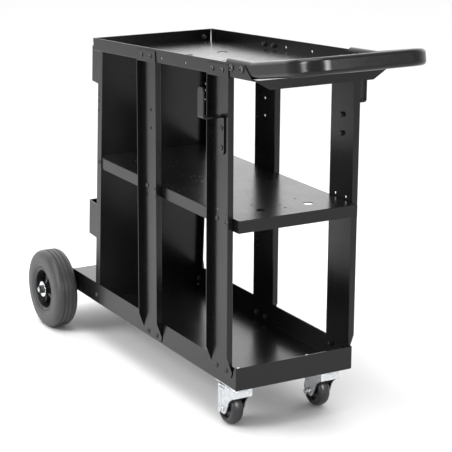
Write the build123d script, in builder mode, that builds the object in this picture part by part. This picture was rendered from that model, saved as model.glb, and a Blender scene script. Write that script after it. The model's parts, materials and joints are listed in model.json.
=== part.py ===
from build123d import *
import math
import os

os.makedirs("parts", exist_ok=True)

# ---------------------------------------------------------------- driving dimensions (mm)
# The cart is laid out from the front lower edge of its bottom tray, then carried to the
# final frame: origin on the floor under the middle of the whole cart, +X to the handle.
DX = 367.72           # bottom tray's front edge, from the middle of the cart
GZ = 108.6            # bottom tray's underside, above the floor
T = 2.0               # sheet thickness

TRAY_L = 1000.0       # bottom tray length, cylinder platform included
TRAY_W = 300.0
TRAY_H = 53.0

TILT = 3.5            # top tray, front end up (degrees)
TOP_X, TOP_Z = 45.0, 692.0   # a point of the top tray's underside
TOP_W = 325.0
RIM_H = 30.0
TOP_FRONT = 40.0      # from that point to the folded front edge
LIP_H = 21.0

POST_W = 93.0
POST_FRONT_X, POST_FRONT_Z = -62.5, 25.0
POST_MID_X, POST_MID_Z = -392.5, 4.8
FLANGE_OUT = 164.5    # outer edges of the posts' flanges, from the middle plane
PAIR = 21.0           # half spacing of every post bolt pair

SHELF_Z = 383.5
SHELF_FRONT = 6.0
SHELF_SKIRT = 27.0

PANEL_X, PANEL_Z = -718.0, 2.2   # rear panel's lower rear edge, standing on the tray floor
PANEL_LEAN = 3.5                 # degrees, top towards the front: square to the top tray
PANEL_HALF = 147.9
PANEL_FLANGE = 24.0
PANEL_H = 673.6
PANEL_FLANGE_TOP = 645.0         # the flanges stop under the top tray

WHEEL_R, WHEEL_W = 101.6, 62.0
WHEEL_X, WHEEL_Y, WHEEL_Z = -896.0, 187.0, -7.0
AXLE_R = 6.0

CASTER_X, CASTER_Y = -56.0, 114.0
CASTER_TRAIL = 30.0
CASTER_R, CASTER_W = 38.0, 30.0
CASTER_Z = -GZ + CASTER_R        # caster wheel axis, from the tray's underside
FORK_OUT, T_FORK, FORK_BOSS = 24.0, 2.6, 25.6   # fork: half width, sheet, axle boss

BAR_H, BAR_T = 35.0, 18.0        # handle tube, flat oval
BAR_X, BAR_Z = 254.0, 748.5      # centre line of the front bar
ARM_Y = 151.3
ARM_UP = 19.7         # arm centre line above the top tray's underside

CYL_HALF, CYL_DEEP, CYL_TALL = 127.5, (88.0, 80.0), 88.0   # depth: lower, upper

RIGHT_LEFT = (("right", -1.0), ("left", 1.0))


def at(x, y, z):
    """Layout coordinates to the final frame."""
    return (x + DX, y, z + GZ)


def save(piece, name):
    piece.part.label = name
    export_step(piece.part, "parts/" + name + ".step")


# ---------------------------------------------------------------- planes
_a = math.radians(TILT)
top_plane = Plane(origin=at(TOP_X, 0, TOP_Z), x_dir=(math.cos(_a), 0, math.sin(_a)), z_dir=(-math.sin(_a), 0, math.cos(_a)))
_b = math.radians(PANEL_LEAN)
PANEL_UP = (math.sin(_b), 0, math.cos(_b))
PANEL_N = (math.cos(_b), 0, -math.sin(_b))


def panel_point(y, up, out=0.0):
    """A point of the panel's rear face, `up` along it and `out` behind it."""
    return at(PANEL_X + up * PANEL_UP[0] - out * PANEL_N[0], y, PANEL_Z + up * PANEL_UP[2] - out * PANEL_N[2])


panel_plane = Plane(origin=panel_point(0, 0), x_dir=(0, 1, 0), z_dir=PANEL_N)


def top_point(x, y, z):
    """x and z in the tilted tray's own frame, y across."""
    o = top_plane.origin
    return (o.X + x * math.cos(_a) - z * math.sin(_a), y, o.Z + x * math.sin(_a) + z * math.cos(_a))


def top_local(x):
    """Local x, on the tilted tray, of a layout x."""
    return (x - TOP_X) / math.cos(_a)


# ---------------------------------------------------------------- hole positions
FOOT_UP, SHELF_LOW, SHELF_HIGH, HOOK_LOW, HOOK_HIGH = 10.0, 345.5, 365.5, 505.0, 547.0
TAB_UP = 12.0         # tab bolts above the tray's underside
HANDLE_BOLTS = (-6.0, 36.0)
BRACKET_UP = (152.5, 552.0)      # lower edges of the two cylinder brackets, along the panel
RIM_BOLT_Y = 140.0
RIM_BOLT_UP = 658.0
AXLE_PLATE_BOLTS = (-18.0, 18.0)
PLATE_PAIR_X, PLATE_PAIR_Y = 36.5, 24.0

post_feet = [(px + d, pz + FOOT_UP) for px, pz in ((POST_FRONT_X, POST_FRONT_Z), (POST_MID_X, POST_MID_Z)) for d in (-PAIR, PAIR)]
shelf_fix = [(POST_FRONT_X + d, POST_FRONT_Z + SHELF_LOW) for d in (-PAIR, PAIR)] + [(POST_MID_X + d, POST_MID_Z + SHELF_HIGH) for d in (-PAIR, PAIR)]
PANEL_SHELF_FIX = (-683.5, 370.5)
PANEL_TRAY_FIX = (-705.0, 22.0)
axle_plate_fix = [(WHEEL_X + d, 34.0) for d in AXLE_PLATE_BOLTS]


# ---------------------------------------------------------------- bottom tray
with BuildPart() as bottom_tray:
    with BuildSketch(Plane(origin=at(-TRAY_L, 0, 0), x_dir=(0, 1, 0), z_dir=(1, 0, 0))) as section:
        with BuildLine():
            h, w = TRAY_H, TRAY_W / 2
            Polyline((-w, h), (-w, 0), (w, 0), (w, h), (w - T, h), (w - T, T), (-w + T, T), (-w + T, h), close=True)
        make_face()
        fillet(section.vertices().filter_by(lambda v: v.Y < 1), 3.2)
        fillet(section.vertices().filter_by(lambda v: abs(v.Y - T) < 0.1 and abs(abs(v.X) - (w - T)) < 0.1), 1.3)
    extrude(amount=TRAY_L)
    # front wall, folded up from the floor
    with BuildSketch(Plane(origin=at(0, 0, 0), x_dir=(0, 1, 0), z_dir=(1, 0, 0))) as front:
        with Locations((0, TRAY_H / 2)):
            Rectangle(TRAY_W, TRAY_H)
        fillet(front.vertices().filter_by(lambda v: v.Y < 1), 3.2)
    extrude(amount=-T)
    fillet(bottom_tray.edges().filter_by(Axis.Y).filter_by(lambda e: abs(e.center().X - DX) < 0.1 and e.center().Z < GZ + 1), 1.8)
    # rest holes: post feet, axle plates, panel flange, caster plates
    for x, z in post_feet + axle_plate_fix + [PANEL_TRAY_FIX]:
        with BuildSketch(Plane(origin=at(x, -200, z), x_dir=(1, 0, 0), z_dir=(0, 1, 0))):
            Circle(3.3)
        extrude(amount=400, mode=Mode.SUBTRACT)
    with BuildSketch(Plane(origin=at(CASTER_X, 0, -5), x_dir=(1, 0, 0), z_dir=(0, 0, 1))):
        with Locations((0, CASTER_Y), (0, -CASTER_Y)):
            with GridLocations(2 * PLATE_PAIR_X, 2 * PLATE_PAIR_Y, 2, 2):
                Circle(4.3)
    extrude(amount=12, mode=Mode.SUBTRACT)
save(bottom_tray, "bottom_tray")

# ---------------------------------------------------------------- top tray, tilted
REAR_X = PANEL_X + T + 0.05 + 655 * math.sin(_b)      # rear rim's outer face near its foot
with BuildPart() as top_tray:
    rear = top_local(REAR_X) + 0.4
    half = TOP_W / 2
    # floor
    with BuildSketch(top_plane):
        with BuildLine():
            Polyline((rear + 0.6, -half + 3.5), (rear + 0.6, half - 3.5), (rear + 2.5, half - 3.5), (rear + 2.5, half), (top_local(79), half), (TOP_FRONT, half - 4.5), (TOP_FRONT, -half + 4.5), (top_local(79), -half), (rear + 2.5, -half), (rear + 2.5, -half + 3.5), close=True)
        make_face()
        with Locations((top_local(-413), 45), (top_local(-413), -45)):
            Circle(12.5, mode=Mode.SUBTRACT)
        with Locations((top_local(-262), 36), (top_local(-262), -36)):
            Circle(3.5, mode=Mode.SUBTRACT)
    extrude(amount=T)
    # side rims, with their front ends cut on the slant
    for s in (-1, 1):
        side = Plane(origin=top_point(0, s * half, 0), x_dir=top_plane.x_dir, z_dir=(0, -1, 0))
        with BuildSketch(side):
            with BuildLine():
                Polyline((rear + 2.5, 0), (top_local(79), 0), (0, RIM_H), (rear + 2.5, RIM_H), close=True)
            make_face()
            with Locations(*[(top_local(x), TAB_UP) for x in (POST_FRONT_X - PAIR, POST_FRONT_X + PAIR, POST_MID_X - PAIR, POST_MID_X + PAIR, -319, -207)]):
                Circle(3.3, mode=Mode.SUBTRACT)
            with Locations(*[(top_local(x), ARM_UP) for x in HANDLE_BOLTS]):
                Circle(4.3, mode=Mode.SUBTRACT)
        extrude(amount=s * T)
    # front edge folded down
    with BuildSketch(Plane(origin=top_point(TOP_FRONT, 0, 0), x_dir=(0, 1, 0), z_dir=top_plane.x_dir)):
        with BuildLine():
            Polyline((-half + 4.5, T), (half - 4.5, T), (half - 4.5, 0), (half - 37, -LIP_H + T), (-half + 37, -LIP_H + T), (-half + 4.5, 0), close=True)
        make_face()
    extrude(amount=T)
    # rear rim, standing against the rear panel
    rim_plane = Plane(origin=panel_point(0, 0, -(T + 0.05)), x_dir=(0, 1, 0), z_dir=PANEL_N)
    low = (top_point(rear, 0, 0)[2] - GZ - PANEL_Z) / math.cos(_b)
    with BuildSketch(rim_plane):
        with Locations((0, low + RIM_H / 2)):
            Rectangle(TOP_W - 7, RIM_H)
        with Locations((RIM_BOLT_Y, RIM_BOLT_UP), (-RIM_BOLT_Y, RIM_BOLT_UP)):
            Circle(3.3, mode=Mode.SUBTRACT)
    extrude(amount=T)
    long_edges = top_tray.edges().filter_by(lambda e: e.length > 500 and abs(abs(e.center().Y) - half) < 0.05)
    lower = long_edges.filter_by(lambda e: top_plane.to_local_coords(e.center()).Z < 1)
    fillet(lower, 1.8)
save(top_tray, "top_tray")

# ---------------------------------------------------------------- middle shelf
with BuildPart() as mid_shelf:
    rear_x = -691.0
    outline = [(rear_x, -145.7), (-664, -145.7), (-654, -150), (SHELF_FRONT, -150), (SHELF_FRONT, 150), (-654, 150), (-664, 145.7), (rear_x, 145.7)]
    with BuildSketch(Plane(origin=at(0, 0, SHELF_Z - SHELF_SKIRT), x_dir=(1, 0, 0), z_dir=(0, 0, 1))) as plan:
        with BuildLine():
            Polyline(*outline, close=True)
        make_face()
    extrude(amount=SHELF_SKIRT)
    hollow = [(rear_x - 5, -145.7 + T), (-664, -145.7 + T), (-654, -150 + T), (SHELF_FRONT - T, -150 + T), (SHELF_FRONT - T, 150 - T), (-654, 150 - T), (-664, 145.7 - T), (rear_x - 5, 145.7 - T)]
    with BuildSketch(Plane(origin=at(0, 0, SHELF_Z - SHELF_SKIRT - 1), x_dir=(1, 0, 0), z_dir=(0, 0, 1))):
        with BuildLine():
            Polyline(*hollow, close=True)
        make_face()
    extrude(amount=SHELF_SKIRT + 1 - T, mode=Mode.SUBTRACT)
    top_edges = mid_shelf.edges().filter_by(lambda e: abs(e.center().Z - GZ - SHELF_Z) < 0.01 and (abs(abs(e.center().Y) - 150) < 0.1 or abs(e.center().X - DX - SHELF_FRONT) < 0.1))
    fillet(top_edges, 2.0)
    # cable holes near the front edge
    with BuildSketch(Plane(origin=at(0, 0, SHELF_Z - T - 1), x_dir=(1, 0, 0), z_dir=(0, 0, 1))):
        with Locations((-54, 60), (-54, -60)):
            Circle(11.5)
        with Locations((-70, -2), (-48, -2), (-102, 56), (-102, -56)):
            Circle(3.0)
    extrude(amount=T + 2, mode=Mode.SUBTRACT)
    for x, z in shelf_fix + [PANEL_SHELF_FIX]:
        with BuildSketch(Plane(origin=at(x, -200, z), x_dir=(1, 0, 0), z_dir=(0, 1, 0))):
            Circle(3.3)
        extrude(amount=400, mode=Mode.SUBTRACT)
save(mid_shelf, "mid_shelf")

# ---------------------------------------------------------------- rear panel
with BuildPart() as rear_panel:
    with BuildSketch(panel_plane):
        with BuildLine():
            Polyline((-PANEL_HALF + 3, 0), (PANEL_HALF - 3, 0), (PANEL_HALF, 3), (PANEL_HALF, PANEL_H), (-PANEL_HALF, PANEL_H), (-PANEL_HALF, 3), close=True)
        make_face()
    extrude(amount=T)
    # forward side flanges, ending under the top tray
    for s in (-1, 1):
        with BuildSketch(panel_plane):
            with Locations((s * (PANEL_HALF - T / 2), (3.5 + PANEL_FLANGE_TOP) / 2)):
                Rectangle(T, PANEL_FLANGE_TOP - 3.5)
        extrude(amount=PANEL_FLANGE)
    fillet(rear_panel.edges().filter_by(lambda e: e.length > 500 and abs(abs(e.center().Y) - PANEL_HALF) < 0.05 and (Vector(*panel_point(0, 0)) - e.center()).dot(Vector(*PANEL_N)) > -0.1), 1.8)
    with BuildSketch(Plane(origin=panel_point(0, 0, 5), x_dir=(0, 1, 0), z_dir=PANEL_N)):
        with Locations((RIM_BOLT_Y, RIM_BOLT_UP), (-RIM_BOLT_Y, RIM_BOLT_UP)):
            Circle(3.3)
    extrude(amount=12, mode=Mode.SUBTRACT)
    for x, z in ((PANEL_SHELF_FIX[0], PANEL_SHELF_FIX[1]), PANEL_TRAY_FIX, (-677.5, 539), (-678.5, 523), (-680.0, 499)):
        with BuildSketch(Plane(origin=at(x, -200, z), x_dir=(1, 0, 0), z_dir=(0, 1, 0))):
            Circle(3.3 if z < 400 else 2.6)
        extrude(amount=400, mode=Mode.SUBTRACT)
save(rear_panel, "rear_panel")

# ---------------------------------------------------------------- posts
for place, px, pz in (("front", POST_FRONT_X, POST_FRONT_Z), ("mid", POST_MID_X, POST_MID_Z)):
    for side, s in RIGHT_LEFT:
        with BuildPart() as post:
            top_z = TOP_Z + (px - TOP_X) * math.tan(_a) + 12
            # web
            with BuildSketch(Plane(origin=at(px, s * 150, 0), x_dir=(1, 0, 0), z_dir=(0, -1, 0))) as web:
                with BuildLine():
                    Polyline((-POST_W / 2 + 5, pz), (POST_W / 2 - 5, pz), (POST_W / 2, pz + 9), (POST_W / 2, top_z), (-POST_W / 2, top_z), (-POST_W / 2, pz + 9), close=True)
                make_face()
                with Locations(*[(d, pz + up) for d in (-PAIR, PAIR) for up in (FOOT_UP, SHELF_LOW, SHELF_HIGH)]):
                    Circle(3.3, mode=Mode.SUBTRACT)
                with Locations((0, pz + HOOK_LOW), (0, pz + HOOK_HIGH)):
                    Circle(3.3, mode=Mode.SUBTRACT)
            extrude(amount=-s * T)
            # outward flanges, cut on the slant at the foot
            for e in (-1, 1):
                with BuildSketch(Plane(origin=at(px + e * POST_W / 2, 0, 0), x_dir=(0, 1, 0), z_dir=(1, 0, 0))):
                    with BuildLine():
                        Polyline((s * 150, pz + 12), (s * 152, pz + 14), (s * FLANGE_OUT, pz + 48), (s * FLANGE_OUT, top_z), (s * 150, top_z), close=True)
                    make_face()
                extrude(amount=-e * T)
            corner = post.edges().filter_by(Axis.Z).filter_by(lambda q: abs(abs(q.center().X - DX - px) - POST_W / 2) < 0.05 and abs(abs(q.center().Y) - 150) < 0.05 and q.length > 300)
            fillet(corner, 1.8)
            # everything above the tilted tray's underside goes, then the ledge and the tab
            with BuildSketch(top_plane.offset(-T)):
                with Locations((top_local(px), 0)):
                    Rectangle(300, 500)
            extrude(amount=80, mode=Mode.SUBTRACT)
            lx = top_local(px)
            with BuildSketch(top_plane.offset(-T - 0.02)):
                with Locations((lx, s * (150 + FLANGE_OUT) / 2)):
                    Rectangle(POST_W, FLANGE_OUT - 150)
            extrude(amount=T)
            with BuildSketch(Plane(origin=top_point(lx, s * (TOP_W / 2 + 0.02), 0), x_dir=top_plane.x_dir, z_dir=(0, -1, 0))):
                with BuildLine():
                    Polyline((-POST_W / 2, -T), (POST_W / 2, -T), (POST_W / 2, 22), (POST_W / 2 - 3, 25), (-POST_W / 2 + 3, 25), (-POST_W / 2, 22), close=True)
                make_face()
                with Locations((-PAIR / math.cos(_a), TAB_UP), (PAIR / math.cos(_a), TAB_UP)):
                    Circle(3.3, mode=Mode.SUBTRACT)
            extrude(amount=-s * T)
        save(post, "post_" + place + "_" + side)

# ---------------------------------------------------------------- handle, one bent flat-oval tube
z_arm = ARM_UP
arm_back = top_point(top_local(-33), 0, z_arm)
arm_turn = top_point(top_local(64), 0, z_arm)
with BuildPart() as handle:
    pts = [
        (arm_back[0], -ARM_Y, arm_back[2]),
        (arm_turn[0], -ARM_Y, arm_turn[2]),
        at(BAR_X, -ARM_Y, BAR_Z),
        at(BAR_X, ARM_Y, BAR_Z),
        (arm_turn[0], ARM_Y, arm_turn[2]),
        (arm_back[0], ARM_Y, arm_back[2]),
    ]
    with BuildLine() as route:
        FilletPolyline(*pts, radius=[90, 55, 55, 90])
    with BuildSketch(Plane(origin=pts[0], x_dir=(0, 1, 0), z_dir=top_plane.x_dir)):
        SlotOverall(BAR_H, BAR_T, rotation=90)
        SlotOverall(BAR_H - 3, BAR_T - 3, rotation=90, mode=Mode.SUBTRACT)
    sweep(path=route.line)
    for x in HANDLE_BOLTS:
        o = top_point(top_local(x), -200, z_arm)
        with BuildSketch(Plane(origin=o, x_dir=top_plane.x_dir, z_dir=(0, 1, 0))):
            Circle(4.3)
        extrude(amount=400, mode=Mode.SUBTRACT)
save(handle, "handle")

# ---------------------------------------------------------------- cylinder brackets
for place, up, deep in (("lower", BRACKET_UP[0], CYL_DEEP[0]), ("upper", BRACKET_UP[1], CYL_DEEP[1])):
    with BuildPart() as bracket:
        t = 2.5
        with BuildSketch(Plane(origin=panel_point(0, up, 0.05), x_dir=(0, 1, 0), z_dir=PANEL_UP)):
            with BuildLine() as run:
                c = CYL_HALF - t / 2
                FilletPolyline((-c + 30, t / 2), (-c, t / 2), (-c, deep - t / 2), (-62, deep - t / 2), (0, deep - 34), (62, deep - t / 2), (c, deep - t / 2), (c, t / 2), (c - 30, t / 2), radius=[4, 4, 14, 30, 14, 4, 4])
            trace(line_width=t)
        extrude(amount=CYL_TALL)
        # the foot flanges are spot-welded to the panel; a strap slot each side of the cradle
        with BuildSketch(Plane(origin=panel_point(0, up, deep + 10), x_dir=(0, 1, 0), z_dir=PANEL_N)):
            with Locations((-92, CYL_TALL / 2), (92, CYL_TALL / 2)):
                SlotOverall(44, 9, rotation=90)
        extrude(amount=20, mode=Mode.SUBTRACT)
    save(bracket, "cylinder_bracket_" + place)

# ---------------------------------------------------------------- cable hooks on the front posts
HOOK_T, HOOK_W, HOOK_OUT = 3.0, 24.0, 205.0
for side, s in RIGHT_LEFT:
    with BuildPart() as hook:
        y0 = 152 + HOOK_T / 2 + 0.02
        lo, mid, tip = POST_FRONT_Z + HOOK_LOW - 15, POST_FRONT_Z + HOOK_HIGH + 26, POST_FRONT_Z + HOOK_HIGH + 91
        with BuildSketch(Plane(origin=at(POST_FRONT_X - HOOK_W / 2, 0, 0), x_dir=(0, 1, 0), z_dir=(1, 0, 0))):
            with BuildLine():
                FilletPolyline((s * y0, lo), (s * y0, mid), (s * (HOOK_OUT - HOOK_T / 2), mid), (s * (HOOK_OUT - HOOK_T / 2), tip), radius=4.5)
            trace(line_width=HOOK_T)
        extrude(amount=HOOK_W)
        ends = hook.edges().filter_by(Axis.Y).filter_by(lambda q: q.length < HOOK_T + 0.1 and (q.center().Z < GZ + lo + 1 or q.center().Z > GZ + tip - 1))
        fillet(ends, 9)
        with BuildSketch(Plane(origin=at(POST_FRONT_X, -180, 0), x_dir=(1, 0, 0), z_dir=(0, 1, 0))):
            with Locations((0, -(POST_FRONT_Z + HOOK_LOW)), (0, -(POST_FRONT_Z + HOOK_HIGH))):
                Circle(3.3)
        extrude(amount=360, mode=Mode.SUBTRACT)
    save(hook, "cable_hook_" + side)

# ---------------------------------------------------------------- rear axle and its plates
for side, s in RIGHT_LEFT:
    with BuildPart() as plate:
        with BuildSketch(Plane(origin=at(WHEEL_X, s * 150.02, 0), x_dir=(1, 0, 0), z_dir=(0, -1, 0))) as pl:
            with BuildLine():
                Polyline((-29, 46), (29, 46), (29, 8), (14, -14), (-14, -14), (-29, 8), close=True)
            make_face()
            fillet(pl.vertices().filter_by(lambda v: v.Y > 40), 4)
            with Locations((0, WHEEL_Z)):
                Circle(15)
            with Locations((0, WHEEL_Z)):
                Circle(AXLE_R + 0.1, mode=Mode.SUBTRACT)
            with Locations(*[(d, 34) for d in AXLE_PLATE_BOLTS]):
                Circle(3.3, mode=Mode.SUBTRACT)
        extrude(amount=-s * 3)
    save(plate, "axle_plate_" + side)

wheel_axis = Axis(origin=at(WHEEL_X, 0, WHEEL_Z), direction=(0, 1, 0))
with BuildPart() as rear_axle:
    with BuildSketch(Plane(origin=at(WHEEL_X, -228, WHEEL_Z), x_dir=(1, 0, 0), z_dir=(0, 1, 0))):
        Circle(AXLE_R)
    extrude(amount=456)
    chamfer(rear_axle.edges().filter_by(GeomType.CIRCLE), 1.0)
save(rear_axle, "rear_axle")

with BuildPart() as axle_spacers:
    for s in (-1, 1):
        with BuildSketch(Plane(origin=at(WHEEL_X, s * 153.3, WHEEL_Z), x_dir=(1, 0, 0), z_dir=(0, s, 0))):
            Circle(10)
            Circle(AXLE_R + 0.1, mode=Mode.SUBTRACT)
        extrude(amount=6.2)
save(axle_spacers, "axle_spacers")

with BuildPart() as axle_washers:
    for s in (-1, 1):
        with BuildSketch(Plane(origin=at(WHEEL_X, s * 214.5, WHEEL_Z), x_dir=(1, 0, 0), z_dir=(0, s, 0))):
            Circle(20)
            Circle(AXLE_R + 0.1, mode=Mode.SUBTRACT)
        extrude(amount=2.2)
    fillet(axle_washers.edges().filter_by(GeomType.CIRCLE).filter_by(lambda e: e.radius > 15 and abs(e.center().Y) > 216), 0.9)
save(axle_washers, "axle_washers")

with BuildPart() as axle_nuts:
    for s in (-1, 1):
        with BuildSketch(Plane(origin=at(WHEEL_X, s * 216.8, WHEEL_Z), x_dir=(1, 0, 0), z_dir=(0, s, 0))):
            RegularPolygon(9.4, 6, major_radius=False)
            Circle(AXLE_R + 0.05, mode=Mode.SUBTRACT)
        extrude(amount=7)
        with BuildSketch(Plane(origin=at(WHEEL_X, s * 223.8, WHEEL_Z), x_dir=(1, 0, 0), z_dir=(0, s, 0))):
            Circle(8.2)
            Circle(AXLE_R + 0.05, mode=Mode.SUBTRACT)
        extrude(amount=2.4)
save(axle_nuts, "axle_nuts")

# ---------------------------------------------------------------- rear wheels
for side, s in RIGHT_LEFT:
    wp = Plane(origin=at(WHEEL_X, s * WHEEL_Y, WHEEL_Z), x_dir=(0, 1, 0), z_dir=(1, 0, 0))
    HW = WHEEL_W / 2
    with BuildPart() as tyre:
        with BuildSketch(wp) as prof:
            with BuildLine():
                R = WHEEL_R
                l1 = Polyline((-HW + 4, 58.05), (-HW + 1.2, 61), (-HW + 1.2, 64.5), (-HW, 67))
                l2 = Spline((-HW, 67), (-HW - 0.1, 78), (-HW + 1.6, 90), (-HW + 5.5, 97.2), (-HW + 12, 100.6), (-13.0, 101.2), tangents=((0, 1), (1, 0.05)))
                l3 = Polyline((-13.0, 101.2), (-12.6, 99.6), (-9.4, 99.6), (-9.0, 101.5), (-1.4, R), (-1.4, 100.2), (1.4, 100.2), (1.4, R), (9.0, 101.5), (9.4, 99.6), (12.6, 99.6), (13.0, 101.2))
                l4 = Spline((13.0, 101.2), (HW - 12, 100.6), (HW - 5.5, 97.2), (HW - 1.6, 90), (HW + 0.1, 78), (HW, 67), tangents=((1, -0.05), (0, -1)))
                l5 = Polyline((HW, 67), (HW - 1.2, 64.5), (HW - 1.2, 61), (HW - 4, 58.05), (-HW + 4, 58.05))
            make_face()
        revolve(axis=wheel_axis)
    save(tyre, "rear_tyre_" + side)

    with BuildPart() as hub:
        # rim ring, thin web, and the long boss
        with BuildSketch(wp):
            with BuildLine():
                Polyline((-26.5, 58), (26.5, 58), (27.5, 56.5), (27.5, 52), (25, 49.5), (3, 46.5), (3, 15.5), (27.1, 13.5), (27.1, 8.0), (-27.1, 8.0), (-27.1, 13.5), (-3, 15.5), (-3, 46.5), (-25, 49.5), (-27.5, 52), (-27.5, 56.5), close=True)
            make_face()
        revolve(axis=wheel_axis)
        # five ribs on each face
        for k in range(5):
            ang = math.radians(90 + 72 * k + 10)
            d = (math.cos(ang), 0, math.sin(ang))
            rib = Plane(origin=at(WHEEL_X, s * WHEEL_Y, WHEEL_Z), x_dir=(0, 1, 0), z_dir=(-d[2], 0, d[0]))
            with BuildSketch(rib):
                with BuildLine():
                    sg = 1 if rib.y_dir.dot(Vector(*d)) > 0 else -1
                    Polyline((-18, sg * 14.2), (-13, sg * 30), (-15, sg * 49.0), (15, sg * 49.0), (13, sg * 30), (18, sg * 14.2), close=True)
                make_face()
            extrude(amount=4.5, both=True)
        with BuildSketch(Plane(origin=at(WHEEL_X, s * WHEEL_Y - 40, WHEEL_Z), x_dir=(1, 0, 0), z_dir=(0, 1, 0))):
            Circle(8.0)
        extrude(amount=80, mode=Mode.SUBTRACT)
    save(hub, "rear_hub_" + side)

    with BuildPart() as bush:
        with BuildSketch(Plane(origin=at(WHEEL_X, s * WHEEL_Y - 27, WHEEL_Z), x_dir=(1, 0, 0), z_dir=(0, 1, 0))):
            Circle(7.98)
            Circle(AXLE_R + 0.06, mode=Mode.SUBTRACT)
        extrude(amount=54)
    save(bush, "rear_bush_" + side)

# ---------------------------------------------------------------- swivel casters
WX = CASTER_X - CASTER_TRAIL
for side, s in RIGHT_LEFT:
    cy = s * CASTER_Y
    stem = Axis(origin=at(CASTER_X, cy, 0), direction=(0, 0, 1))
    stem_plane = Plane(origin=at(CASTER_X, cy, 0), x_dir=(1, 0, 0), z_dir=(0, -1, 0))
    axle_line = Axis(origin=at(WX, cy, CASTER_Z), direction=(0, 1, 0))
    wheel_plane = Plane(origin=at(WX, cy, CASTER_Z), x_dir=(0, 1, 0), z_dir=(1, 0, 0))

    with BuildPart() as plate:
        with BuildSketch(Plane(origin=at(CASTER_X, cy, -3.02), x_dir=(1, 0, 0), z_dir=(0, 0, 1))):
            RectangleRounded(2 * PLATE_PAIR_X + 19, 2 * PLATE_PAIR_Y + 17, 5)
            with GridLocations(2 * PLATE_PAIR_X, 2 * PLATE_PAIR_Y, 2, 2):
                Circle(4.3, mode=Mode.SUBTRACT)
        extrude(amount=3)
        # pressed upper race
        with BuildSketch(stem_plane):
            with BuildLine():
                Polyline((0, -3.02), (24, -3.02), (24, -7.4), (22, -8.2), (0, -8.2), close=True)
            make_face()
        revolve(axis=stem)
        with BuildSketch(Plane(origin=at(CASTER_X, cy, -12), x_dir=(1, 0, 0), z_dir=(0, 0, 1))):
            Circle(5.02)
        extrude(amount=20, mode=Mode.SUBTRACT)
    save(plate, "caster_plate_" + side)

    with BuildPart() as kingpin:
        with BuildSketch(stem_plane):
            with BuildLine():
                Polyline((0, -1), (5, -1), (5, -16.2), (9.5, -16.2), (9, -18.2), (6, -19.4), (0, -19.8), close=True)
            make_face()
        revolve(axis=stem)
    save(kingpin, "caster_kingpin_" + side)

    with BuildPart() as balls:
        with BuildSketch(Plane(origin=at(CASTER_X + 17, cy, -10.5), x_dir=(1, 0, 0), z_dir=(0, -1, 0))):
            with BuildLine():
                CenterArc((0, 0), 2.15, -90, 180)
                Line((0, 2.15), (0, -2.15))
            make_face()
        revolve(axis=Axis(origin=at(CASTER_X + 17, cy, 0), direction=(0, 0, 1)))
        one = balls.part
    with BuildPart() as ring:
        for k in range(14):
            add(one.rotate(stem, 360.0 / 14 * k))
    save(ring, "caster_balls_" + side)

    with BuildPart() as fork:
        # lower race and crown
        with BuildSketch(stem_plane):
            with BuildLine():
                Polyline((5.08, -12.8), (21, -12.8), (24.6, -9.4), (26.6, -9.0), (27.4, -10.2), (27.4, -13.6), (26, -15.8), (5.08, -15.8), close=True)
            make_face()
        revolve(axis=stem)
        # crown, two legs and a front wall, pressed from one sheet
        with BuildPart() as shell:
            with BuildSketch(Plane(origin=at(WX, cy + FORK_OUT, -GZ), x_dir=(1, 0, 0), z_dir=(0, -1, 0))):
                with BuildLine():
                    Polyline((-14.5, 95.4), (-14.5, 33), (-12.5, 30.5), (-9, 29.5), (14, 29.5), (17, 31.5), (21, 37), (28, 54.5), (32, 61.5), (38, 67.5), (51.5, 77), (54, 77), (54, 95.4), close=True)
                make_face()
            extrude(amount=2 * FORK_OUT)
            rim = shell.edges().filter_by(lambda q: abs(q.center().Z - 95.4) < 0.1 and q.center().X > at(WX - 14, 0, 0)[0])
            fillet(rim, 2.0)
            with BuildSketch(Plane(origin=at(WX, cy + FORK_OUT - T_FORK, -GZ), x_dir=(1, 0, 0), z_dir=(0, -1, 0))):
                with BuildLine():
                    Polyline((-20, 92.8), (-20, 20), (54 - T_FORK, 20), (54 - T_FORK, 92.8), close=True)
                make_face()
            extrude(amount=2 * (FORK_OUT - T_FORK), mode=Mode.SUBTRACT)
            with BuildSketch(Plane(origin=at(CASTER_X, cy, -15.9), x_dir=(1, 0, 0), z_dir=(0, 0, 1))):
                Circle(10.5)
            extrude(amount=2.8, mode=Mode.SUBTRACT)
        add(shell.part)
        # raised boss round the axle, on each leg
        for e in (-1, 1):
            with BuildSketch(wheel_plane):
                with BuildLine():
                    Polyline((e * (FORK_OUT - 0.5), 2), (e * (FORK_OUT - 0.5), 8.4), (e * FORK_OUT, 8.3), (e * FORK_BOSS, 6.6), (e * FORK_BOSS, 2), close=True)
                make_face()
            revolve(axis=axle_line)
        with BuildSketch(Plane(origin=at(WX, cy - 40, -GZ), x_dir=(1, 0, 0), z_dir=(0, -1, 0))):
            with Locations((0, CASTER_Z + GZ)):
                Circle(4.05)
            with Locations((3, 89.7)):
                SlotOverall(22, 3.5)
        extrude(amount=-80, mode=Mode.SUBTRACT)
    save(fork, "caster_fork_" + side)

    with BuildPart() as pin:
        with BuildSketch(Plane(origin=at(WX, cy + s * (FORK_BOSS + 0.1), CASTER_Z), x_dir=(1, 0, 0), z_dir=(0, s, 0))):
            RegularPolygon(6.5, 6, major_radius=False)
        extrude(amount=4.6)
        with BuildSketch(Plane(origin=at(WX, cy + s * (FORK_BOSS + 0.1), CASTER_Z), x_dir=(1, 0, 0), z_dir=(0, s, 0))):
            Circle(4.0)
        extrude(amount=-59.2)
    save(pin, "caster_axle_" + side)

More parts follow.
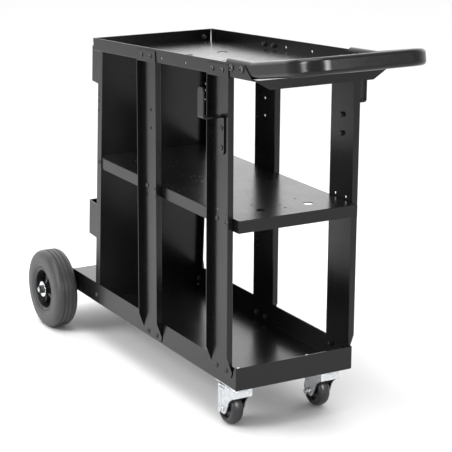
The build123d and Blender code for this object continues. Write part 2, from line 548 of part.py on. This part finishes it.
    with BuildPart() as nut:
        with BuildSketch(Plane(origin=at(WX, cy - s * (FORK_BOSS + 0.1), CASTER_Z), x_dir=(1, 0, 0), z_dir=(0, -s, 0))):
            RegularPolygon(6.5, 6, major_radius=False)
            Circle(4.05, mode=Mode.SUBTRACT)
        extrude(amount=5.5)
        with BuildSketch(Plane(origin=at(WX, cy - s * (FORK_BOSS + 5.6), CASTER_Z), x_dir=(1, 0, 0), z_dir=(0, -s, 0))):
            Circle(5.8)
            Circle(4.05, mode=Mode.SUBTRACT)
        extrude(amount=1.8)
    save(nut, "caster_axle_nut_" + side)

    with BuildPart() as tread:
        with BuildSketch(wheel_plane) as prof:
            with BuildLine():
                h = CASTER_W / 2
                Polyline((-h, 27), (-h, 29.5))
                Spline((-h, 29.5), (-13.4, 33.4), (-9.5, 36.2), (-4.5, 37.4), (-0.9, 37.6), tangents=((0.15, 1), (1, 0.02)))
                Polyline((-0.9, 37.6), (-0.5, CASTER_R), (0.5, CASTER_R), (0.9, 37.6))
                Spline((0.9, 37.6), (4.5, 37.4), (9.5, 36.2), (13.4, 33.4), (h, 29.5), tangents=((1, -0.02), (0.15, -1)))
                Polyline((h, 29.5), (h, 27), (-h, 27))
            make_face()
        revolve(axis=axle_line)
    save(tread, "caster_tread_" + side)

    with BuildPart() as core:
        with BuildSketch(wheel_plane):
            with BuildLine():
                Polyline((-14, 26.95), (14, 26.95), (14, 23.5), (7, 21.5), (7, 11), (21.2, 9.0), (21.2, 4.06), (-21.2, 4.06), (-21.2, 9.0), (-7, 11), (-7, 21.5), (-14, 23.5), close=True)
            make_face()
        revolve(axis=axle_line)
    save(core, "caster_hub_" + side)


# ---------------------------------------------------------------- fasteners
def bolt(r, length, head_r, head_h):
    """Button-head screw: head above the plane, shank below it."""
    with BuildPart() as b:
        with BuildSketch(Plane.XZ):
            with BuildLine():
                Polyline((0, -length), (r - 0.5, -length), (r, -length + 0.5), (r, 0), (head_r, 0), (head_r, head_h * 0.25))
                ThreePointArc((head_r, head_h * 0.25), (head_r * 0.8, head_h * 0.74), (head_r * 0.45, head_h))
                Polyline((head_r * 0.45, head_h), (0, head_h), (0, -length))
            make_face()
        revolve(axis=Axis.Z)
        with BuildSketch(Plane.XY.offset(head_h)):
            RegularPolygon(head_r * 0.34, 6, major_radius=False)
        extrude(amount=-head_h * 0.6, mode=Mode.SUBTRACT)
    return b.part


def nut(r, across, tall):
    """Flange nut sitting on the plane."""
    with BuildPart() as n:
        with BuildSketch(Plane.XY):
            Circle(across * 0.62)
            Circle(r + 0.05, mode=Mode.SUBTRACT)
        extrude(amount=1.2)
        with BuildSketch(Plane.XY.offset(1.2)):
            RegularPolygon(across / 2, 6, major_radius=False)
            Circle(r + 0.05, mode=Mode.SUBTRACT)
        extrude(amount=tall - 1.2)
    return n.part


def plane_at(p, d):
    return Plane(origin=p, z_dir=d)


def fix(points, solid):
    """Copies of one solid on planes given as (point, direction)."""
    with BuildPart() as group:
        with Locations(*[plane_at(p, d) for p, d in points]):
            add(solid)
    return group


m6 = bolt(3.0, 11.5, 5.6, 3.4)
m6_nut = nut(3.0, 10.0, 5.6)

# lower frame: post feet, axle plates and panel flange through the bottom tray's sides
heads, nuts = [], []
for s in (-1, 1):
    for x, z in post_feet:
        heads.append((at(x, s * 152.02, z), (0, s, 0)))
    for x, z in axle_plate_fix:
        heads.append((at(x, s * 153.04, z), (0, s, 0)))
    heads.append((at(PANEL_TRAY_FIX[0], s * 150.02, PANEL_TRAY_FIX[1]), (0, s, 0)))
    for x, z in post_feet + axle_plate_fix:
        nuts.append((at(x, s * 147.98, z), (0, -s, 0)))
    nuts.append((at(PANEL_TRAY_FIX[0], s * 145.86, PANEL_TRAY_FIX[1]), (0, -s, 0)))
lower_bolts = fix(heads, m6)
save(lower_bolts, "lower_frame_bolts")
lower_nuts = fix(nuts, m6_nut)
save(lower_nuts, "lower_frame_nuts")

heads, nuts = [], []
for s in (-1, 1):
    for x, z in shelf_fix:
        heads.append((at(x, s * 152.02, z), (0, s, 0)))
        nuts.append((at(x, s * 147.98, z), (0, -s, 0)))
    heads.append((at(PANEL_SHELF_FIX[0], s * 147.92, PANEL_SHELF_FIX[1]), (0, s, 0)))
    nuts.append((at(PANEL_SHELF_FIX[0], s * 143.68, PANEL_SHELF_FIX[1]), (0, -s, 0)))
shelf_bolts = fix(heads, m6)
save(shelf_bolts, "shelf_bolts")
shelf_nuts = fix(nuts, m6_nut)
save(shelf_nuts, "shelf_nuts")

heads, nuts = [], []
for s in (-1, 1):
    for px in (POST_FRONT_X, POST_MID_X):
        for d in (-PAIR, PAIR):
            lx = top_local(px) + d / math.cos(_a)
            heads.append((top_point(lx, s * (FLANGE_OUT + 0.04), TAB_UP), (0, s, 0)))
            nuts.append((top_point(lx, s * (TOP_W / 2 - T - 0.02), TAB_UP), (0, -s, 0)))
for y in (-RIM_BOLT_Y, RIM_BOLT_Y):
    heads.append((panel_point(y, RIM_BOLT_UP, 0.02), tuple(-v for v in PANEL_N)))
    nuts.append((panel_point(y, RIM_BOLT_UP, -(2 * T + 0.08)), PANEL_N))
top_bolts = fix(heads, m6)
save(top_bolts, "top_tray_bolts")
top_nuts = fix(nuts, m6_nut)
save(top_nuts, "top_tray_nuts")

heads, nuts = [], []
for s in (-1, 1):
    for up in (HOOK_LOW, HOOK_HIGH):
        heads.append((at(POST_FRONT_X, s * 155.06, POST_FRONT_Z + up), (0, s, 0)))
        nuts.append((at(POST_FRONT_X, s * 149.98, POST_FRONT_Z + up), (0, -s, 0)))
hook_bolts = fix(heads, m6)
save(hook_bolts, "hook_bolts")
hook_nuts = fix(nuts, m6_nut)
save(hook_nuts, "hook_nuts")

m8 = bolt(4.0, 28.0, 7.4, 4.4)
m8_nut = nut(4.0, 13.0, 6.8)
heads, nuts = [], []
for s in (-1, 1):
    for x in HANDLE_BOLTS:
        heads.append((top_point(top_local(x), s * (TOP_W / 2 + 0.02), z_arm), (0, s, 0)))
        nuts.append((top_point(top_local(x), s * (ARM_Y - BAR_T / 2 - 0.02), z_arm), (0, -s, 0)))
handle_bolts = fix(heads, m8)
save(handle_bolts, "handle_bolts")
handle_nuts = fix(nuts, m8_nut)
save(handle_nuts, "handle_nuts")

m8s = bolt(4.0, 17.0, 7.0, 3.6)
heads, nuts = [], []
for s in (-1, 1):
    for dx in (-PLATE_PAIR_X, PLATE_PAIR_X):
        for dy in (-PLATE_PAIR_Y, PLATE_PAIR_Y):
            heads.append((at(CASTER_X + dx, s * CASTER_Y + dy, -3.04), (0, 0, -1)))
            nuts.append((at(CASTER_X + dx, s * CASTER_Y + dy, T + 0.02), (0, 0, 1)))
caster_bolts = fix(heads, m8s)
save(caster_bolts, "caster_bolts")
caster_nuts = fix(nuts, m8_nut)
save(caster_nuts, "caster_nuts")
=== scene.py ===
import math
import json

import bpy
from mathutils import Matrix, Vector

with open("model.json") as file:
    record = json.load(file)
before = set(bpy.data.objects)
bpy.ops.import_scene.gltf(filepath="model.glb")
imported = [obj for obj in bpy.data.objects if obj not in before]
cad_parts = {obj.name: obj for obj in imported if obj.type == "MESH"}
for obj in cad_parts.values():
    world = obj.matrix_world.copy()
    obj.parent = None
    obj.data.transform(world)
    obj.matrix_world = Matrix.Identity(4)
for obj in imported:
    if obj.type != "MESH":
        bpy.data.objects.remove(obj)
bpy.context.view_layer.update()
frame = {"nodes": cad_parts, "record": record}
NODES = frame["nodes"]
scene = bpy.context.scene
scene.view_settings.view_transform = "Standard"
scene.view_settings.look = "None"


# ------------------------------------------------------------------ camera
def make_camera():
    yaw, pitch, roll = math.radians(29.63), math.radians(15.47), math.radians(0.333)
    place = Vector((3.2413, -1.8116, 1.3999))
    fwd = Vector((-math.cos(yaw) * math.cos(pitch), math.sin(yaw) * math.cos(pitch), -math.sin(pitch)))
    right = fwd.cross(Vector((0, 0, 1))).normalized()
    up = right.cross(fwd).normalized()
    r2 = right * math.cos(roll) + up * math.sin(roll)
    u2 = -right * math.sin(roll) + up * math.cos(roll)
    data = bpy.data.cameras.new("camera")
    data.sensor_width = 36.0
    data.lens = 1637.3 / 452 * 36.0
    data.clip_start, data.clip_end = 0.05, 200.0
    cam = bpy.data.objects.new("camera", data)
    cam.matrix_world = Matrix((
        (r2.x, u2.x, -fwd.x, place.x),
        (r2.y, u2.y, -fwd.y, place.y),
        (r2.z, u2.z, -fwd.z, place.z),
        (0, 0, 0, 1),
    ))
    scene.collection.objects.link(cam)
    scene.camera = cam


make_camera()


# ------------------------------------------------------------------ node helpers
class Graph:
    """A small helper round one material's node tree."""

    def __init__(self, name):
        self.mat = bpy.data.materials.new(name)
        self.mat.use_nodes = True
        self.t = self.mat.node_tree
        self.bsdf = self.t.nodes["Principled BSDF"]
        self.coord = self.t.nodes.new("ShaderNodeTexCoord")

    def node(self, kind, **props):
        n = self.t.nodes.new(kind)
        for k, v in props.items():
            setattr(n, k, v)
        return n

    def link(self, a, b):
        self.t.links.new(a, b)

    def set(self, socket, value):
        self.bsdf.inputs[socket].default_value = value

    def noise(self, scale, detail=2.0, rough=0.5, stretch=None, distortion=0.0):
        n = self.node("ShaderNodeTexNoise")
        n.inputs["Scale"].default_value = scale
        n.inputs["Detail"].default_value = detail
        n.inputs["Roughness"].default_value = rough
        n.inputs["Distortion"].default_value = distortion
        if stretch:
            m = self.node("ShaderNodeMapping")
            m.inputs["Scale"].default_value = stretch
            self.link(self.coord.outputs["Object"], m.inputs["Vector"])
            self.link(m.outputs["Vector"], n.inputs["Vector"])
        else:
            self.link(self.coord.outputs["Object"], n.inputs["Vector"])
        return n.outputs["Fac"]

    def remap(self, value, a, b, c, d):
        m = self.node("ShaderNodeMapRange")
        m.inputs["From Min"].default_value = a
        m.inputs["From Max"].default_value = b
        m.inputs["To Min"].default_value = c
        m.inputs["To Max"].default_value = d
        self.link(value, m.inputs["Value"])
        return m.outputs["Result"]

    def math(self, op, a, b=None):
        m = self.node("ShaderNodeMath", operation=op)
        for i, v in enumerate((a, b)):
            if v is None:
                continue
            if isinstance(v, (int, float)):
                m.inputs[i].default_value = v
            else:
                self.link(v, m.inputs[i])
        return m.outputs[0]

    def ramp(self, value, stops):
        r = self.node("ShaderNodeValToRGB")
        e = r.color_ramp.elements
        while len(e) > 1:
            e.remove(e[-1])
        e[0].position, e[0].color = stops[0][0], (*stops[0][1], 1)
        for pos, col in stops[1:]:
            k = e.new(pos)
            k.color = (*col, 1)
        self.link(value, r.inputs["Fac"])
        return r.outputs["Color"]

    def mix(self, fac, a, b):
        m = self.node("ShaderNodeMix", data_type="RGBA")
        for sock, v in ((m.inputs[0], fac), (m.inputs[6], a), (m.inputs[7], b)):
            if isinstance(v, (int, float)):
                sock.default_value = v
            elif isinstance(v, tuple):
                sock.default_value = (*v, 1)
            else:
                self.link(v, sock)
        return m.outputs[2]

    def bump(self, layers):
        """Bump nodes chained in order: (height socket, strength, distance in metres)."""
        last = None
        for height, strength, distance in layers:
            b = self.node("ShaderNodeBump")
            b.inputs["Strength"].default_value = strength
            b.inputs["Distance"].default_value = distance
            self.link(height, b.inputs["Height"])
            if last is not None:
                self.link(last, b.inputs["Normal"])
            last = b.outputs["Normal"]
        self.link(last, self.bsdf.inputs["Normal"])


# ------------------------------------------------------------------ materials
def powder_coat(name, tone, rough_lo, rough_hi, peel=0.09, coat=0.0):
    """Black polyester powder: fine orange peel, faint cloudiness and a few pale specks of dust."""
    g = Graph(name)
    cloud = g.noise(7.0, 3.0, 0.55)
    fine = g.noise(160.0, 3.0, 0.6)
    speck = g.noise(900.0, 1.0, 0.5)
    base = g.ramp(cloud, [(0.3, tuple(v * 0.88 for v in tone)), (0.7, tuple(v * 1.12 for v in tone))])
    dust = g.remap(speck, 0.74, 0.84, 0.0, 0.12)
    g.link(g.mix(dust, base, (0.05, 0.05, 0.052)), g.bsdf.inputs["Base Color"])
    r = g.math("ADD", g.remap(fine, 0.3, 0.7, rough_lo, rough_hi), g.remap(cloud, 0.3, 0.7, -0.02, 0.03))
    g.link(r, g.bsdf.inputs["Roughness"])
    g.set("IOR", 1.385)
    g.set("Metallic", 0.0)
    if coat:
        g.set("Coat Weight", coat)
        g.set("Coat Roughness", 0.12)
    g.bump([(g.noise(420.0, 2.0, 0.5), peel, 0.0006), (g.noise(1500.0, 1.0, 0.5), peel * 0.6, 0.0002)])
    return g.mat


def blackened_steel():
    g = Graph("black_fastener")
    n = g.noise(600.0, 3.0, 0.6)
    g.link(g.ramp(n, [(0.35, (0.03, 0.03, 0.032)), (0.7, (0.10, 0.10, 0.105))]), g.bsdf.inputs["Base Color"])
    g.link(g.remap(n, 0.3, 0.7, 0.24, 0.40), g.bsdf.inputs["Roughness"])
    g.set("Metallic", 0.75)
    g.bump([(g.noise(1800.0, 2.0, 0.5), 0.15, 0.0002)])
    return g.mat


def zinc_plate():
    """Bright zinc: a cool spangle, a fine grain and small dull spots."""
    g = Graph("zinc_plate")
    spangle = g.noise(95.0, 4.0, 0.55, distortion=0.6)
    fine = g.noise(700.0, 2.0, 0.5)
    g.link(g.ramp(spangle, [(0.3, (0.50, 0.52, 0.54)), (0.55, (0.66, 0.68, 0.70)), (0.75, (0.78, 0.79, 0.80))]), g.bsdf.inputs["Base Color"])
    r = g.math("ADD", g.remap(spangle, 0.3, 0.7, 0.30, 0.18), g.remap(fine, 0.3, 0.7, -0.03, 0.05))
    g.link(r, g.bsdf.inputs["Roughness"])
    g.set("Metallic", 1.0)
    g.bump([(spangle, 0.05, 0.0008), (fine, 0.08, 0.0002)])
    return g.mat


def drawn_steel(name, low, high, rough):
    g = Graph(name)
    lines = g.noise(900.0, 2.0, 0.5, stretch=(1.0, 0.04, 1.0))
    g.link(g.ramp(lines, [(0.3, low), (0.7, high)]), g.bsdf.inputs["Base Color"])
    g.link(g.remap(lines, 0.3, 0.7, rough, rough + 0.14), g.bsdf.inputs["Roughness"])
    g.set("Metallic", 1.0)
    g.bump([(lines, 0.06, 0.0002)])
    return g.mat


def rubber(name, tone, rough, dusty):
    g = Graph(name)
    cloud = g.noise(22.0, 4.0, 0.6)
    grain = g.noise(1100.0, 2.0, 0.55)
    base = g.ramp(cloud, [(0.3, tuple(v * 0.85 for v in tone)), (0.7, tuple(v * 1.15 for v in tone))])
    haze = g.remap(g.noise(60.0, 5.0, 0.65), 0.52, 0.75, 0.0, dusty)
    g.link(g.mix(haze, base, (0.16, 0.155, 0.15)), g.bsdf.inputs["Base Color"])
    g.link(g.math("ADD", g.remap(grain, 0.3, 0.7, rough - 0.06, rough + 0.06), g.remap(cloud, 0.3, 0.7, -0.03, 0.03)), g.bsdf.inputs["Roughness"])
    g.set("IOR", 1.5)
    g.bump([(grain, 0.22, 0.0003), (g.noise(260.0, 3.0, 0.6), 0.08, 0.0006)])
    return g.mat


def moulded_plastic(name, tone, rough):
    g = Graph(name)
    flow = g.noise(40.0, 3.0, 0.5)
    grain = g.noise(1400.0, 2.0, 0.5)
    g.link(g.ramp(flow, [(0.3, tuple(v * 0.85 for v in tone)), (0.7, tuple(v * 1.2 for v in tone))]), g.bsdf.inputs["Base Color"])
    g.link(g.remap(grain, 0.3, 0.7, rough - 0.05, rough + 0.07), g.bsdf.inputs["Roughness"])
    g.set("IOR", 1.46)
    g.bump([(grain, 0.12, 0.0002)])
    return g.mat


MATERIALS = {
    "black_paint": powder_coat("black_powder_coat", (0.0032, 0.0032, 0.0034), 0.21, 0.26, peel=0.022),
    "handle_gloss": powder_coat("handle_powder_coat", (0.0036, 0.0036, 0.0038), 0.17, 0.22, peel=0.012),
    "black_fastener": blackened_steel(),
    "axle_steel": drawn_steel("drawn_steel", (0.42, 0.42, 0.43), (0.6, 0.6, 0.61), 0.25),
    "zinc": zinc_plate(),
    "ball_steel": drawn_steel("polished_steel", (0.6, 0.6, 0.62), (0.75, 0.75, 0.76), 0.08),
    "tyre_rubber": rubber("tyre_rubber", (0.042, 0.042, 0.043), 0.48, 0.16),
    "caster_rubber": rubber("caster_rubber", (0.022, 0.021, 0.024), 0.34, 0.10),
    "wheel_plastic": moulded_plastic("hub_plastic", (0.012, 0.012, 0.013), 0.36),
    "bush_plastic": moulded_plastic("bush_nylon", (0.25, 0.25, 0.25), 0.45),
}

for row in frame["record"]["subparts"]:
    o = NODES[row["node"]]
    m = MATERIALS[row["material_slot"]]
    if not o.material_slots:
        o.data.materials.append(m)
    for s in o.material_slots:
        s.material = m


# ------------------------------------------------------------------ floor, world, lights
def make_floor():
    import bmesh
    bm = bmesh.new()
    r, n = 45.0, 64
    ring = [bm.verts.new((r * math.cos(2 * math.pi * k / n), r * math.sin(2 * math.pi * k / n), 0)) for k in range(n)]
    bm.faces.new(ring)
    mesh = bpy.data.meshes.new("floor")
    bm.to_mesh(mesh)
    bm.free()
    floor = bpy.data.objects.new("floor", mesh)
    scene.collection.objects.link(floor)
    mat = bpy.data.materials.new("floor_white")
    mat.use_nodes = True
    b = mat.node_tree.nodes["Principled BSDF"]
    b.inputs["Base Color"].default_value = (0.90, 0.90, 0.90, 1)
    b.inputs["Roughness"].default_value = 0.9
    b.inputs["Specular IOR Level"].default_value = 0.1
    mesh.materials.append(mat)


make_floor()


def make_world():
    """White studio: even walls, and a brighter sweep behind the cart."""
    w = bpy.data.worlds.new("studio")
    scene.world = w
    w.use_nodes = True
    t = w.node_tree
    bg = t.nodes["Background"]
    tc = t.nodes.new("ShaderNodeTexCoord")
    dot = t.nodes.new("ShaderNodeVectorMath")
    dot.operation = "DOT_PRODUCT"
    dot.inputs[1].default_value = Vector((-0.86, 0.5, 0.05)).normalized()
    t.links.new(tc.outputs["Generated"], dot.inputs[0])
    m = t.nodes.new("ShaderNodeMapRange")
    m.interpolation_type = "SMOOTHSTEP"
    m.inputs["From Min"].default_value = 0.1
    m.inputs["From Max"].default_value = 0.9
    m.inputs["To Min"].default_value = 0.74
    m.inputs["To Max"].default_value = 2.1
    t.links.new(dot.outputs["Value"], m.inputs["Value"])
    t.links.new(m.outputs["Result"], bg.inputs["Strength"])
    bg.inputs["Color"].default_value = (1, 1, 1, 1)


make_world()


def softbox(name, place, target, size, power, shape="RECTANGLE"):
    data = bpy.data.lights.new(name, "AREA")
    data.shape = shape
    data.size, data.size_y = size
    data.energy = power
    o = bpy.data.objects.new(name, data)
    o.location = place
    o.rotation_euler = (Vector(target) - Vector(place)).to_track_quat("-Z", "Y").to_euler()
    scene.collection.objects.link(o)
    return o


softbox("top_softbox", (0.4, -0.6, 3.2), (0, 0, 0.4), (2.4, 1.6), 62)
fill = softbox("floor_fill", (-0.7, -3.0, 2.3), (-0.1, -0.3, 0.0), (1.8, 1.4), 62)
fill.visible_glossy = False
# two tall strips that only show as highlights on the push bar, wheels and casters
for name, place, size, power in (("strip_side", (1.50, -2.32, 1.75), (0.80, 1.50), 75), ("strip_front", (3.10, 0.75, 1.75), (0.80, 1.50), 80)):
    strip = softbox(name, place, (0.5, 0.0, 1.35), size, power)
    strip.visible_camera = False
    strip.visible_diffuse = False
